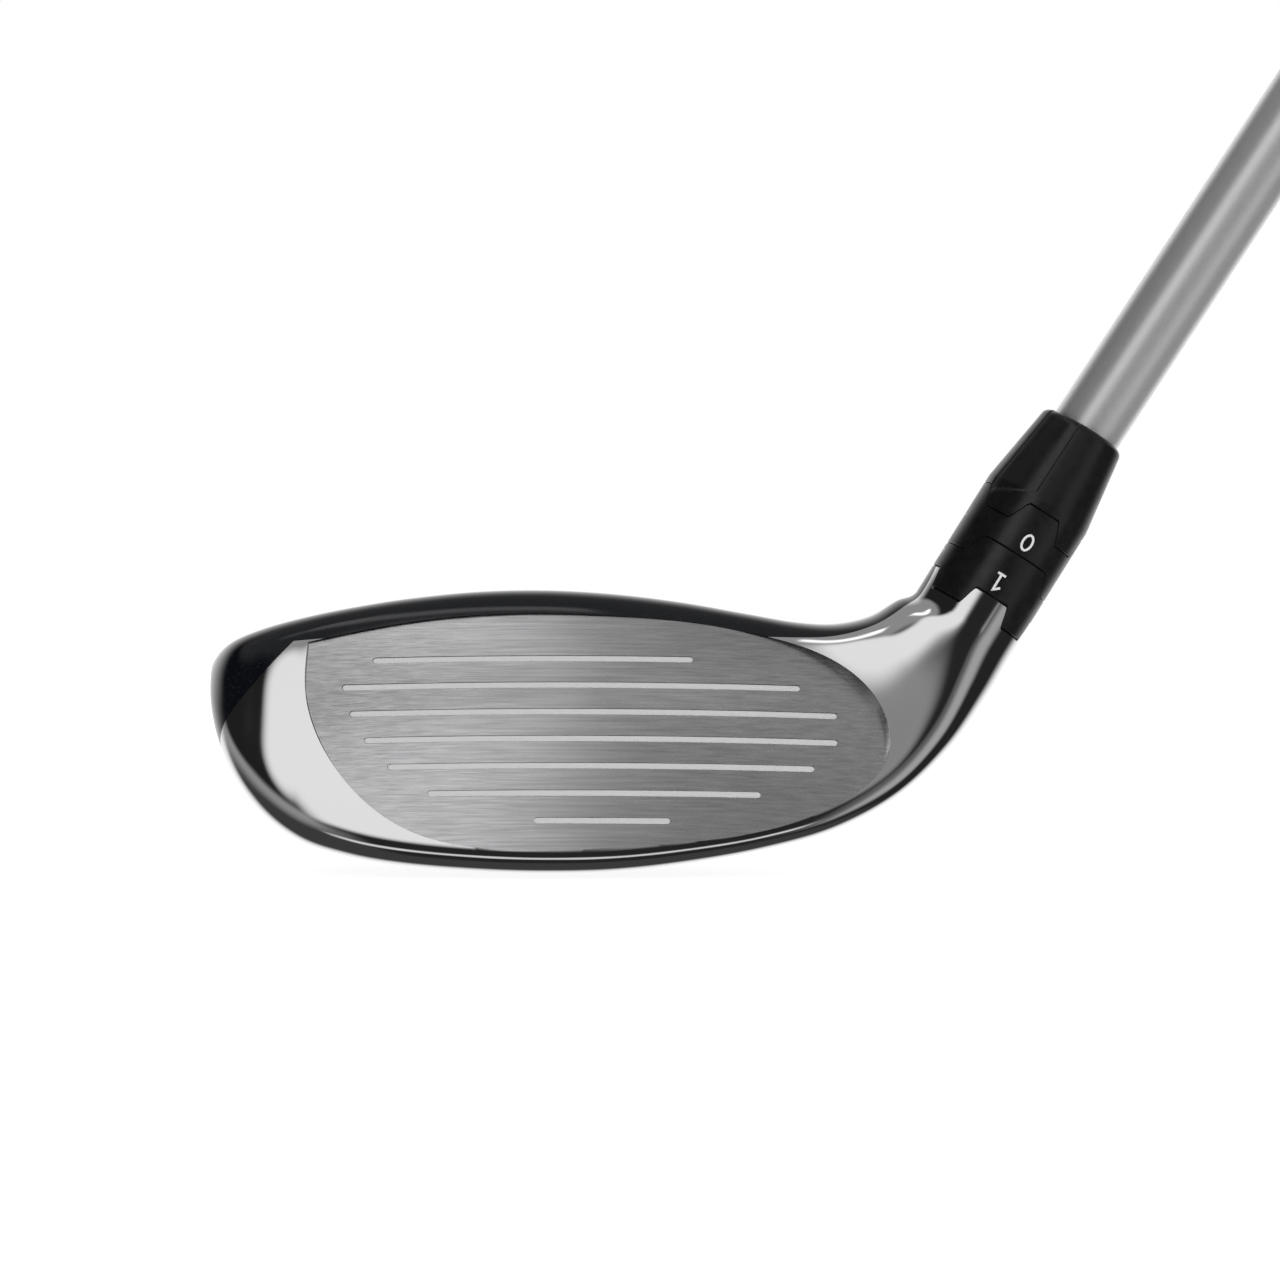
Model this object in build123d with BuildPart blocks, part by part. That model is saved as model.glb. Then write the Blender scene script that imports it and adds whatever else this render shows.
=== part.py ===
"""Hybrid golf club with an adjustable hosel, right-handed, at address.

Frame: millimetres, +Z up, +X from toe to heel, the face looks toward -Y.
The origin is the point where the sole rests on the ground.
"""

import os
from math import cos, pi, radians, sin, sqrt, tan, tanh

from build123d import *

os.makedirs("parts", exist_ok=True)

# ---------------------------------------------------------------- driving dimensions

LOFT = 20.0  # face angle behind the vertical, degrees
FACE_RADIUS = 330.0  # bulge and roll of the face
FACE_CENTRE = (2.0, -7.9, 18.0)
FACE_THICKNESS = 2.6
LINE_PITCH = 3.63  # score lines, measured up the face
LINE_WIDTH = 0.85
LINE_DEPTH = 0.40
WALL = 1.6  # cast shell of the head

# Brushed area of the face, seen from the front (x, z), from its corner at the toe end of
# the topline, over the top, round the heel and back along the leading edge.
FACE_OUTLINE = (
    (-30.6, 29.5),
    (-18.5, 31.9),
    (-3.0, 33.2),
    (7.3, 33.0),
    (20.2, 31.9),
    (28.9, 30.2),
    (38.0, 26.8),
    (44.0, 20.0),
    (44.3, 15.1),
    (38.2, 9.1),
    (24.0, 4.8),
    (8.6, 3.5),
    (-6.9, 3.4),
    (-17.2, 5.8),
    (-26.2, 13.1),
    (-30.7, 23.3),
)
# Score lines from the top: toe end and heel end (x).
SCORE_LINES = (
    (-22.1, 19.3),
    (-26.0, 33.2),
    (-24.9, 38.0),
    (-22.9, 38.0),
    (-19.8, 34.9),
    (-14.6, 27.9),
    (-1.0, 16.3),
)
MIDDLE_LINE_RISE = -0.86  # fourth line, measured up the face from its centre

HOSEL_LIE = 58.05  # hosel axis above the ground, degrees
HOSEL_BASE = (55.76, 2.5, 33.4)  # on the hosel axis, level with the gaps between its teeth
HOSEL_DIAMETER = 14.8
HOSEL_BORE = 11.50
TUBE_DIAMETER = 11.40  # inner tube of the adapter sleeve
RING_BORE = 11.50
SEAM_GAP = 0.06  # running clearance in every toothed seam

RING_TURN = 6.0  # the teeth stand this far toward the heel from the front, degrees

# Heights along the hosel axis, above HOSEL_BASE.
HOSEL_TEETH_TOP = 2.75
SEAM_TWO_FLOOR = 6.15
SEAM_ONE_FLOOR = 12.58
TOOTH_HEIGHT = 2.90
KINK = 16.65  # the sleeve's cone starts here
BEND_HEIGHT = 16.0  # the shaft axis leaves the hosel axis here
RIM = 28.05
TUBE_END = -17.0
INSERT_TOP = -8.0
BORE_FLOOR = -17.6
SCREW_SEAT = -22.0

WEIGHT_SPOT = (-4.0, 31.0, 2.8)  # middle of the weight screw on the sole's surface
WEIGHT_TILT = 13.7  # its axis leans with the sole, degrees
BOSS_DIAMETER = 18.0
BOSS_DEPTH = 9.5

BAR_DIAMETER = 6.0
PORT_DIAMETER = 13.0
WEIGHT_THREAD = 9.0

PORT_DEPTH = 3.6
THREAD_DEPTH = 8.0
WEIGHT_HEAD_DIAMETER = 12.8
WEIGHT_HEAD_DEPTH = 2.7  # underside of the weight's head, below the sole's surface
WEIGHT_HEAD_HEIGHT = 2.4
WEIGHT_SOCKET = 5.0
SOCKET_DEPTH = 2.0
BAR_SETBACK = 9.0

SCREW_THREAD = 4.92
SCREW_HOLE = 5.6
SCREW_PORT = 9.2
SCREW_HEAD_DIAMETER = 8.0
SCREW_HEAD_HEIGHT = 4.5
SCREW_SOCKET = 4.0
SCREW_TIP = -9.0
WASHER_DIAMETER = 8.8
WASHER_HEIGHT = 1.0
INSERT_DIAMETER = 7.0
ORING_GROOVE_RADIUS = 4.3
ORING_WIDTH = 1.4
ORING_HEIGHT = -12.0
TOOTH_ROUND = 0.45
RIM_DIAMETER = 11.5
RIM_ROUND = 0.8
PANEL_DEPTH = 0.15  # shallow panels on two sides of the sleeve's cone
PANEL_ARC = 55.0
COLLAR_BASE = 10.4
COLLAR_HEIGHT = 1.5
COLLAR_DIAMETER = 10.4

SHAFT_LIE = 56.8  # the sleeve tilts the shaft a little flatter than the hosel
SHAFT_TIP_DIAMETER = 9.4
SHAFT_BUTT_DIAMETER = 15.2
TIP_INSERT = 20.0  # shaft tip below the bend of the sleeve
TIP_PARALLEL = 110.0
CLUB_LENGTH = 1010.0  # along the shaft, from the ground to the end of the grip

GRIP_LENGTH = 267.0
GRIP_MOUTH_DIAMETER = 17.6
GRIP_CAP_DIAMETER = 31.0
TAPE_THICKNESS = 0.4
TIP_BORE = 4.5
BUTT_BORE = 13.0
TIP_WEIGHT_LENGTH = 15.0
CAP_HEIGHT = 3.2
CAP_DIAMETER = 22.0
VENT_DIAMETER = 3.2

# Stations of the head, toe to neck. Each gives the highest point (x, z) and the lowest
# point (x, z) of its section, then how far forward and back it reaches (y).
HEAD_STATIONS = (
    ((-44.9, 25.8), (-44.9, 25.8), 13.0, 13.0),
    ((-44.0, 27.6), (-44.0, 19.2), 3.5, 20.0),
    ((-41.3, 29.6), (-41.3, 13.2), -3.0, 26.0),
    ((-37.0, 31.3), (-37.0, 7.7), -5.35, 31.5),
    ((-31.4, 32.8), (-31.4, 3.8), -6.45, 37.0),
    ((-25.0, 34.1), (-25.0, 1.9), -7.15, 41.5),
    ((-18.0, 35.2), (-18.0, 0.85), -7.7, 44.7),
    ((-9.0, 36.1), (-9.0, 0.2), -8.1, 46.3),
    ((0.0, 36.3), (0.0, -0.06), -8.25, 45.6),
    ((9.0, 35.8), (9.0, 0.15), -8.2, 42.8),
    ((18.0, 34.7), (18.0, 1.1), -7.85, 38.0),
    ((26.5, 33.2), (28.0, 2.8), -7.3, 31.5),
    ((33.0, 32.1), (37.5, 5.3), -6.6, 24.5),
    ((38.1, 31.9), (46.0, 9.6), -5.9, 18.3),
    ((42.6, 32.85), (52.7, 15.6), -5.4, 13.8),
    ((46.1, 34.9), (57.7, 22.3), -5.05, 11.0),
)
TOP_DEPTH = 9.0  # from the topline back to the highest line of the crown
SOLE_DEPTH = 15.7  # from the leading edge back to the lowest line of the sole


# ---------------------------------------------------------------- reference planes

hosel_angle = radians(HOSEL_LIE)
hosel_up = Vector(cos(hosel_angle), 0, sin(hosel_angle))
hosel_across = Vector(sin(hosel_angle), 0, -cos(hosel_angle))


def hosel_plane(height):
    """Square to the hosel axis. Its -Y looks out over the face, its +X toward the heel."""
    return Plane(origin=Vector(*HOSEL_BASE) + hosel_up * height, x_dir=hosel_across, z_dir=hosel_up)


shaft_angle = radians(SHAFT_LIE)
shaft_up = Vector(cos(shaft_angle), 0, sin(shaft_angle))
bend_point = Vector(*HOSEL_BASE) + hosel_up * BEND_HEIGHT


def shaft_plane(height):
    """Square to the shaft axis, at a height above the bend in the sleeve."""
    across = Vector(sin(shaft_angle), 0, -cos(shaft_angle))
    return Plane(origin=bend_point + shaft_up * height, x_dir=across, z_dir=shaft_up)


def lengthwise(plane):
    """The plane through the axis of a cross plane: x stays, y runs up the axis."""
    return Plane(origin=plane.origin, x_dir=plane.x_dir, z_dir=plane.x_dir.cross(plane.z_dir))


def axis_of(plane):
    return Axis(plane.origin, plane.z_dir)


face_normal = Vector(0, -cos(radians(LOFT)), sin(radians(LOFT)))
face_plane = Plane(origin=FACE_CENTRE, x_dir=(1, 0, 0), z_dir=face_normal)
roll_centre = Vector(*FACE_CENTRE) - face_normal * FACE_RADIUS


def hosel_station(height):
    """A round section of the hosel, in the form of the head's stations."""
    centre = Vector(*HOSEL_BASE) + hosel_up * height
    reach = hosel_across * (HOSEL_DIAMETER / 2)
    top, sole = centre - reach, centre + reach
    return (top.X, top.Z), (sole.X, sole.Z), centre.Y - HOSEL_DIAMETER / 2, centre.Y + HOSEL_DIAMETER / 2


STATIONS = (*HEAD_STATIONS, hosel_station(-1.5), hosel_station(3.5))


# ---------------------------------------------------------------- shape of the head


def smooth_step(value):
    """Goes from 0 to 1 with level ends."""
    value = min(1.0, max(0.0, value))
    return value * value * (3 - 2 * value)


def mix(first, second, share):
    return first + (second - first) * share


def station(index):
    """A station as a flat list. The one before the toe mirrors the one after it, so the nose is round."""
    if index < 0:
        top, sole, front, rear = STATIONS[-index]
        top, sole, front, rear = sole, top, rear, front
    elif index >= len(STATIONS):
        last, before = station(len(STATIONS) - 1), station(len(STATIONS) - 2)
        return [2 * a - b for a, b in zip(last, before)]
    else:
        top, sole, front, rear = STATIONS[index]
    return [*top, *sole, front, rear]


def smooth_station(place):
    """The station at a fractional place, on a Catmull-Rom curve through its neighbours."""
    index = min(int(place), len(STATIONS) - 2)
    t = place - index
    before, start, end, after = (station(index + k) for k in (-1, 0, 1, 2))
    return [
        0.5 * (2 * b + (c - a) * t + (2 * a - 5 * b + 4 * c - d) * t**2 + (3 * b - a - 3 * c + d) * t**3)
        for a, b, c, d in zip(before, start, end, after)
    ]


def rounded(angle, power):
    """Cosine and sine of a quarter turn, squared off by the power of a superellipse."""
    return max(0.0, cos(angle)) ** (2 / power), max(0.0, sin(angle)) ** (2 / power)


def head_section(place, wall, points_per_quarter=9):
    """The closed outline at a place along the stations, as points in space, a wall inside the skin."""
    top_x, top_z, sole_x, sole_z, front, rear = smooth_station(place)
    full_height = sqrt((top_x - sole_x) ** 2 + (top_z - sole_z) ** 2)
    up_x, up_z = (top_x - sole_x) / full_height, (top_z - sole_z) / full_height
    sole_x, sole_z = sole_x + up_x * wall, sole_z + up_z * wall
    front, rear = front + wall, rear - wall
    height = full_height - 2 * wall
    neck = smooth_step((place - 10.5) / 5.5)
    nose = smooth_step(place / 5)
    depth = rear - front
    lean = tan(radians(LOFT)) * (1 - neck) * height / 2
    top_depth = mix(TOP_DEPTH * tanh(depth / 2 / TOP_DEPTH), depth / 2, neck)
    sole_depth = mix(SOLE_DEPTH * tanh(depth / 2 / SOLE_DEPTH), depth / 2, neck)
    rear_height = mix(0.38, 0.5, neck) * height
    top_power = mix(2, mix(6.5, 2, neck), nose)
    sole_power = mix(2, mix(8.0, 2, neck), nose)
    crown_power = mix(2.2, 2, neck)
    rear_power = mix(2.3, 2, neck)
    top_y, sole_y = front + top_depth + lean, front + sole_depth - lean
    outline = []
    for step in range(4 * points_per_quarter):
        quarter, part = divmod(step, points_per_quarter)
        angle = pi / 2 * part / points_per_quarter
        if quarter == 0:
            c, s = rounded(angle, top_power)
            y, up = front + top_depth * (1 - c) + lean * s, height / 2 * (1 + s)
        elif quarter == 1:
            c, s = rounded(angle, crown_power)
            y, up = mix(top_y, rear, s), mix(rear_height, height, c)
        elif quarter == 2:
            c, s = rounded(angle, rear_power)
            y, up = mix(sole_y, rear, c), rear_height * (1 - s)
        else:
            s, c = rounded(angle, sole_power)
            y, up = front + sole_depth * (1 - c) - lean * s, height / 2 * (1 - s)
        outline.append((y, up))
    return [(sole_x + up_x * up, y, sole_z + up_z * up) for y, up in outline]


def section_plane(place):
    """The plane that holds a section: across the head, and square to the axis at the hosel."""
    top_x, top_z, sole_x, sole_z, front, rear = smooth_station(place)
    return Plane(
        origin=(sole_x, 0, sole_z),
        x_dir=(0, 1, 0),
        z_dir=(top_z - sole_z, 0, sole_x - top_x),
    )


def head_loft(places, wall):
    """A solid through the head's sections, a wall inside its outer skin."""
    with BuildPart() as body:
        for place in places:
            plane = section_plane(place)
            with BuildSketch(plane):
                with BuildLine():
                    points = [plane.to_local_coords(Vector(*p)) for p in head_section(place, wall)]
                    Spline([(p.X, p.Y) for p in points], periodic=True)
                make_face()
        loft()
    return body.part


# ---------------------------------------------------------------- head

with BuildPart() as outer:
    add(head_loft([0.25, 0.6, 1, 1.5, *range(2, len(STATIONS))], 0))
    with BuildSketch(Plane.XY):
        Rectangle(300, 300)
    extrude(amount=-20, mode=Mode.SUBTRACT)

# The part of space in front of the inner side of the face plate, inside the face outline.
with BuildPart() as face_window:
    with BuildSketch(Plane(origin=(0, 15, 0), x_dir=(1, 0, 0), z_dir=(0, -1, 0))):
        with BuildLine():
            Spline([*FACE_OUTLINE, FACE_OUTLINE[0]])
        make_face()
    extrude(amount=45)
    with Locations(roll_centre):
        Sphere(FACE_RADIUS - FACE_THICKNESS, mode=Mode.SUBTRACT)

with BuildPart() as groove_tool:
    for count, (toe_end, heel_end) in enumerate(SCORE_LINES):
        rise = MIDDLE_LINE_RISE + (3 - count) * LINE_PITCH
        middle = (toe_end + heel_end) / 2 - FACE_CENTRE[0]
        with BuildSketch(face_plane.offset(-8)):
            with Locations((middle, rise)):
                SlotOverall(heel_end - toe_end, LINE_WIDTH)
        extrude(amount=16)
    with Locations(roll_centre):
        Sphere(FACE_RADIUS - LINE_DEPTH, mode=Mode.SUBTRACT)

with BuildPart() as face_plate:
    add(face_window.part)
    with Locations(roll_centre):
        Sphere(FACE_RADIUS, mode=Mode.INTERSECT)
    add(groove_tool.part, mode=Mode.SUBTRACT)
    # The back of the plate is relieved where the adapter's bore passes close behind its heel.
    with BuildSketch(hosel_plane(BORE_FLOOR)):
        Circle(HOSEL_BORE / 2 + 0.3)
    extrude(amount=-BORE_FLOOR, mode=Mode.SUBTRACT)

# The round space that stays solid about the adapter bore, a little wider than the neck.
CORE_DIAMETER = HOSEL_DIAMETER + 1.6
with BuildPart() as hosel_core:
    with BuildSketch(hosel_plane(-45)):
        Circle(CORE_DIAMETER / 2)
    extrude(amount=60)

# The thick spot of the sole that the weight screws into.
weight_out = Vector(0, sin(radians(WEIGHT_TILT)), -cos(radians(WEIGHT_TILT)))


def weight_plane(depth):
    """Square to the weight's axis, looking out of the sole, at a depth below its surface."""
    return Plane(origin=Vector(*WEIGHT_SPOT) - weight_out * depth, x_dir=(1, 0, 0), z_dir=weight_out)


with BuildPart() as weight_boss:
    with BuildSketch(weight_plane(BOSS_DEPTH)):
        Circle(BOSS_DIAMETER / 2)
    extrude(amount=BOSS_DEPTH + 6)
    add(outer.part, mode=Mode.INTERSECT)

with BuildPart() as cavity:
    add(head_loft([1.4, *range(2, 13), 12.7], WALL))
    with Locations(roll_centre):
        Sphere(FACE_RADIUS - FACE_THICKNESS, mode=Mode.INTERSECT)
    add(hosel_core.part, mode=Mode.SUBTRACT)
    add(weight_boss.part, mode=Mode.SUBTRACT)

# Everything on the crown's side of the joint with the body: above a surface that drops down the
# toe, is level along the topline, climbs the neck on an arc and falls toward the rear, and above
# the skirt.
CROWN_EDGE = 29.8
SKIRT_EDGE = 14.0
EDGE_FALL = 0.8
EDGE_ARC = 17.0
TOE_DROP_START, TOE_DROP = -32.5, 1.4
FRONT_Y, EDGE_Y = -30.0, -2.0
front_edge = CROWN_EDGE + EDGE_FALL * (EDGE_Y - FRONT_Y)
with BuildPart() as above_joint:
    with BuildSketch(Plane(origin=(0, FRONT_Y, 0), x_dir=(1, 0, 0), z_dir=(0, -1, 0))):
        with BuildLine():
            level = Line((TOE_DROP_START, front_edge), (35, front_edge))
            climb = TangentArc(level @ 1, (35 + EDGE_ARC, front_edge + EDGE_ARC), tangent=(1, 0))
            toe_edge = front_edge - TOE_DROP * (TOE_DROP_START + 60)
            Polyline(climb @ 1, (35 + EDGE_ARC, 150), (-60, 150), (-60, toe_edge), level @ 0)
        make_face()
    extrude(amount=110, dir=(0, 1, -EDGE_FALL))
    with BuildSketch(Plane.XY.offset(SKIRT_EDGE)):
        Rectangle(300, 300)
    extrude(amount=-150, mode=Mode.SUBTRACT)
    add(hosel_core.part, mode=Mode.SUBTRACT)

with BuildPart() as shell:
    add(outer.part)
    add(face_window.part, mode=Mode.SUBTRACT)
    add(cavity.part, mode=Mode.SUBTRACT)

with BuildPart() as crown_blank:
    add(shell.part)
    add(above_joint.part, mode=Mode.INTERSECT)

with BuildPart() as crown:
    add(crown_blank.part.solids().sort_by(SortBy.VOLUME)[-1])


# ---------------------------------------------------------------- toothed seams


def tube(base, length, outer_diameter, bore):
    """A plain tube standing on a plane."""
    with BuildPart() as pipe:
        with BuildSketch(base):
            Circle(outer_diameter / 2)
            Circle(bore / 2, mode=Mode.SUBTRACT)
        extrude(amount=length)
    return pipe.part


def tooth(floor, turn, top_angle, base_angle, height, gap):
    """One trapezoid tooth with rounded corners, as a sector of a tube."""
    radius = HOSEL_DIAMETER / 2
    top_half = radius * sin(radians(top_angle / 2)) + gap
    base_half = radius * sin(radians(base_angle / 2)) + gap
    foot = base_half + TOOTH_ROUND * 2
    tip = height + gap
    angle = radians(RING_TURN - 90 + turn)
    outward = hosel_across * cos(angle) + Vector(0, 1, 0) * sin(angle)
    with BuildPart() as one:
        face = Plane(origin=hosel_plane(floor).origin, x_dir=hosel_up.cross(outward), z_dir=outward)
        with BuildSketch(face) as shape:
            with BuildLine():
                Polyline(
                    (-foot, -1), (-foot, gap), (-base_half, gap), (-top_half, tip),
                    (top_half, tip), (base_half, gap), (foot, gap), (foot, -1), close=True,
                )
            make_face()
            fillet(shape.vertices().filter_by(lambda v: abs(v.X) < foot - 0.01), TOOTH_ROUND)
        extrude(amount=radius + 1)
        add(tube(hosel_plane(floor - 2), height + 4, HOSEL_DIAMETER, RING_BORE - 2), mode=Mode.INTERSECT)
    return one.part


def teeth(floor, count, top_angle, base_angle, height, gap=0.0):
    """Evenly spaced teeth, grown by a gap to cut the matching notches."""
    with BuildPart() as crowns:
        for step in range(count):
            add(tooth(floor, 360 / count * step, top_angle, base_angle, height, gap))
    return crowns.part


HOSEL_TEETH = dict(floor=0, count=4, top_angle=37, base_angle=52, height=HOSEL_TEETH_TOP)
LOFT_RING_TEETH = dict(floor=SEAM_TWO_FLOOR, count=2, top_angle=78, base_angle=108, height=TOOTH_HEIGHT)
LIE_RING_TEETH = dict(floor=SEAM_ONE_FLOOR, count=4, top_angle=34, base_angle=60, height=TOOTH_HEIGHT)


def ring(floor, top, own_teeth, teeth_below):
    """A ring with teeth on top and notches for the teeth below it."""
    with BuildPart() as collar:
        add(tube(hosel_plane(floor + SEAM_GAP), top - floor - SEAM_GAP, HOSEL_DIAMETER, RING_BORE))
        add(teeth(**own_teeth))
        with BuildSketch(hosel_plane(floor - 1)):
            Circle(RING_BORE / 2)
        extrude(amount=top - floor + 2 * TOOTH_HEIGHT, mode=Mode.SUBTRACT)
        add(teeth(**teeth_below, gap=SEAM_GAP), mode=Mode.SUBTRACT)
    return collar.part


with BuildPart() as loft_ring:
    add(ring(0, SEAM_TWO_FLOOR, LOFT_RING_TEETH, HOSEL_TEETH))

with BuildPart() as lie_ring:
    add(ring(SEAM_TWO_FLOOR, SEAM_ONE_FLOOR, LIE_RING_TEETH, LOFT_RING_TEETH))


# ---------------------------------------------------------------- head body


def rod(bottom, top, diameter):
    """A round bar along the hosel axis, to drill with."""
    with BuildPart() as bar:
        with BuildSketch(hosel_plane(bottom)):
            Circle(diameter / 2)
        extrude(amount=top - bottom)
    return bar.part


with BuildPart() as head_body:
    add(shell.part)
    add(above_joint.part, mode=Mode.SUBTRACT)
    with BuildSketch(hosel_plane(0)):
        Circle(HOSEL_DIAMETER)
    extrude(amount=10, mode=Mode.SUBTRACT)
    add(teeth(**HOSEL_TEETH))
    add(rod(BORE_FLOOR, 5, HOSEL_BORE), mode=Mode.SUBTRACT)
    add(rod(SCREW_SEAT - 1, BORE_FLOOR + 1, SCREW_HOLE), mode=Mode.SUBTRACT)
    add(rod(SCREW_SEAT - 30, SCREW_SEAT, SCREW_PORT), mode=Mode.SUBTRACT)
    with BuildSketch(weight_plane(PORT_DEPTH)):
        Circle(PORT_DIAMETER / 2)
    extrude(amount=10, mode=Mode.SUBTRACT)
    with BuildSketch(weight_plane(THREAD_DEPTH)):
        Circle(WEIGHT_THREAD / 2)
    extrude(amount=10, mode=Mode.SUBTRACT)


# ---------------------------------------------------------------- inside the head


def bar_plane(x):
    """Square to a brace bar, which leans with the face behind it."""
    middle = Vector(x, FACE_CENTRE[1] + BAR_SETBACK, FACE_CENTRE[2])
    return Plane(origin=middle, x_dir=(1, 0, 0), z_dir=(0, sin(radians(LOFT)), cos(radians(LOFT))))


def brace_bar(x):
    with BuildPart() as bar:
        with BuildSketch(bar_plane(x)):
            Circle(BAR_DIAMETER / 2)
        extrude(amount=40, both=True)
        add(cavity.part, mode=Mode.INTERSECT)
    return bar.part


with BuildPart() as brace_bar_toe:
    add(brace_bar(-11))

with BuildPart() as brace_bar_heel:
    add(brace_bar(15))

with BuildPart() as inner_weight:
    with Locations((2, 12, 0)):
        Box(16, 18, 12)
    add(cavity.part, mode=Mode.INTERSECT)


# ---------------------------------------------------------------- adapter sleeve

sleeve_side = lengthwise(hosel_plane(0))
hosel_radius, tube_radius, rim_radius = HOSEL_DIAMETER / 2, TUBE_DIAMETER / 2, RIM_DIAMETER / 2

with BuildPart() as adapter_sleeve:
    with BuildSketch(sleeve_side) as profile:
        with BuildLine():
            Polyline(
                (0, TUBE_END), (tube_radius, TUBE_END), (tube_radius, SEAM_ONE_FLOOR + SEAM_GAP),
                (hosel_radius, SEAM_ONE_FLOOR + SEAM_GAP), (hosel_radius, KINK), (rim_radius, RIM),
                (0, RIM), close=True,
            )
        make_face()
        rim = profile.vertices().filter_by(lambda v: abs(v.X - rim_radius) < 0.01 and abs(v.Y - RIM) < 0.01)
        fillet(rim, RIM_ROUND)
    revolve(axis=axis_of(hosel_plane(0)))
    add(teeth(**LIE_RING_TEETH, gap=SEAM_GAP), mode=Mode.SUBTRACT)
    for side in (0, 180):
        with BuildSketch(lengthwise(hosel_plane(0).rotated((0, 0, RING_TURN - 108 + side)))):
            with BuildLine():
                Polyline(
                    (hosel_radius - PANEL_DEPTH, KINK + 0.6), (rim_radius - PANEL_DEPTH, RIM + 0.6),
                    (rim_radius + 2, RIM + 0.6), (hosel_radius + 2, KINK - 1.4), close=True,
                )
            make_face()
        revolve(axis=axis_of(hosel_plane(0)), revolution_arc=-PANEL_ARC, mode=Mode.SUBTRACT)
    with BuildSketch(sleeve_side):
        with Locations((ORING_GROOVE_RADIUS + 2, ORING_HEIGHT)):
            Rectangle(4, ORING_WIDTH + 0.2)
    revolve(axis=axis_of(hosel_plane(0)), mode=Mode.SUBTRACT)
    with BuildSketch(shaft_plane(-TIP_INSERT)):
        Circle(SHAFT_TIP_DIAMETER / 2)
    extrude(amount=40, mode=Mode.SUBTRACT)
    with BuildSketch(shaft_plane(COLLAR_BASE)):
        Circle(COLLAR_DIAMETER / 2)
    extrude(amount=5, mode=Mode.SUBTRACT)
    with BuildSketch(hosel_plane(TUBE_END - 1)):
        Circle(INSERT_DIAMETER / 2)
    extrude(amount=INSERT_TOP - TUBE_END + 1, mode=Mode.SUBTRACT)

with BuildPart() as rim_collar:
    add(tube(shaft_plane(COLLAR_BASE), COLLAR_HEIGHT, COLLAR_DIAMETER, SHAFT_TIP_DIAMETER))
    fillet(rim_collar.edges().filter_by(GeomType.CIRCLE).sort_by(Axis(bend_point, shaft_up))[-2:], 0.15)

with BuildPart() as thread_insert:
    add(tube(hosel_plane(TUBE_END), INSERT_TOP - TUBE_END, INSERT_DIAMETER, SCREW_THREAD + 0.08))

with BuildPart() as sleeve_o_ring:
    with BuildSketch(sleeve_side):
        with Locations((ORING_GROOVE_RADIUS + ORING_WIDTH / 2, ORING_HEIGHT)):
            Circle(ORING_WIDTH / 2)
    revolve(axis=axis_of(hosel_plane(0)))


# ---------------------------------------------------------------- hosel screw and sole weight

with BuildPart() as hosel_screw_washer:
    add(tube(hosel_plane(SCREW_SEAT - WASHER_HEIGHT), WASHER_HEIGHT, WASHER_DIAMETER, SCREW_THREAD + 0.2))

screw_head_top = SCREW_SEAT - WASHER_HEIGHT
with BuildPart() as hosel_screw:
    with BuildSketch(hosel_plane(screw_head_top)):
        Circle(SCREW_HEAD_DIAMETER / 2)
    extrude(amount=-SCREW_HEAD_HEIGHT)
    chamfer(hosel_screw.edges().sort_by(Axis(Vector(*HOSEL_BASE), hosel_up))[0], 0.5)
    with BuildSketch(hosel_plane(screw_head_top)):
        Circle(SCREW_THREAD / 2)
    extrude(amount=SCREW_TIP - screw_head_top)
    with BuildSketch(hosel_plane(screw_head_top - SCREW_HEAD_HEIGHT)):
        RegularPolygon(SCREW_SOCKET / 2, 6, major_radius=False)
    extrude(amount=SOCKET_DEPTH, mode=Mode.SUBTRACT)

with BuildPart() as weight_screw:
    with BuildSketch(weight_plane(WEIGHT_HEAD_DEPTH)):
        Circle(WEIGHT_HEAD_DIAMETER / 2)
    extrude(amount=WEIGHT_HEAD_HEIGHT)
    chamfer(weight_screw.edges().sort_by(Axis(Vector(*WEIGHT_SPOT), weight_out))[-1], 0.4)
    with BuildSketch(weight_plane(THREAD_DEPTH - 0.3)):
        Circle(WEIGHT_THREAD / 2 - 0.04)
    extrude(amount=THREAD_DEPTH - 0.3 - WEIGHT_HEAD_DEPTH + 0.5)
    with BuildSketch(weight_plane(WEIGHT_HEAD_DEPTH - WEIGHT_HEAD_HEIGHT)):
        RegularPolygon(WEIGHT_SOCKET / 2, 6, major_radius=False)
    extrude(amount=-SOCKET_DEPTH, mode=Mode.SUBTRACT)

seal_radius = (WEIGHT_HEAD_DIAMETER + WEIGHT_THREAD) / 4
with BuildPart() as weight_seal:
    with BuildSketch(lengthwise(weight_plane(0))):
        with Locations((seal_radius, -(PORT_DEPTH + WEIGHT_HEAD_DEPTH) / 2)):
            Circle((PORT_DEPTH - WEIGHT_HEAD_DEPTH) / 2)
    revolve(axis=axis_of(weight_plane(0)))


# ---------------------------------------------------------------- shaft and grip

ground_to_bend = bend_point.Z / sin(shaft_angle)
grip_top = CLUB_LENGTH - ground_to_bend
shaft_top = grip_top - CAP_HEIGHT
grip_mouth = grip_top - GRIP_LENGTH
taper_start = TIP_PARALLEL - TIP_INSERT
shaft_side = lengthwise(shaft_plane(0))
shaft_axis = axis_of(shaft_plane(0))


def shaft_radius(height):
    """The shaft is parallel at its tip and then widens evenly."""
    share = max(0.0, (height - taper_start) / (shaft_top - taper_start))
    return mix(SHAFT_TIP_DIAMETER, SHAFT_BUTT_DIAMETER, share) / 2


def turned(points):
    """A solid turned about the shaft axis from its profile, as radius and height."""
    with BuildPart() as body:
        with BuildSketch(shaft_side):
            with BuildLine():
                Polyline(*points, close=True)
            make_face()
        revolve(axis=shaft_axis)
    return body.part


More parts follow.
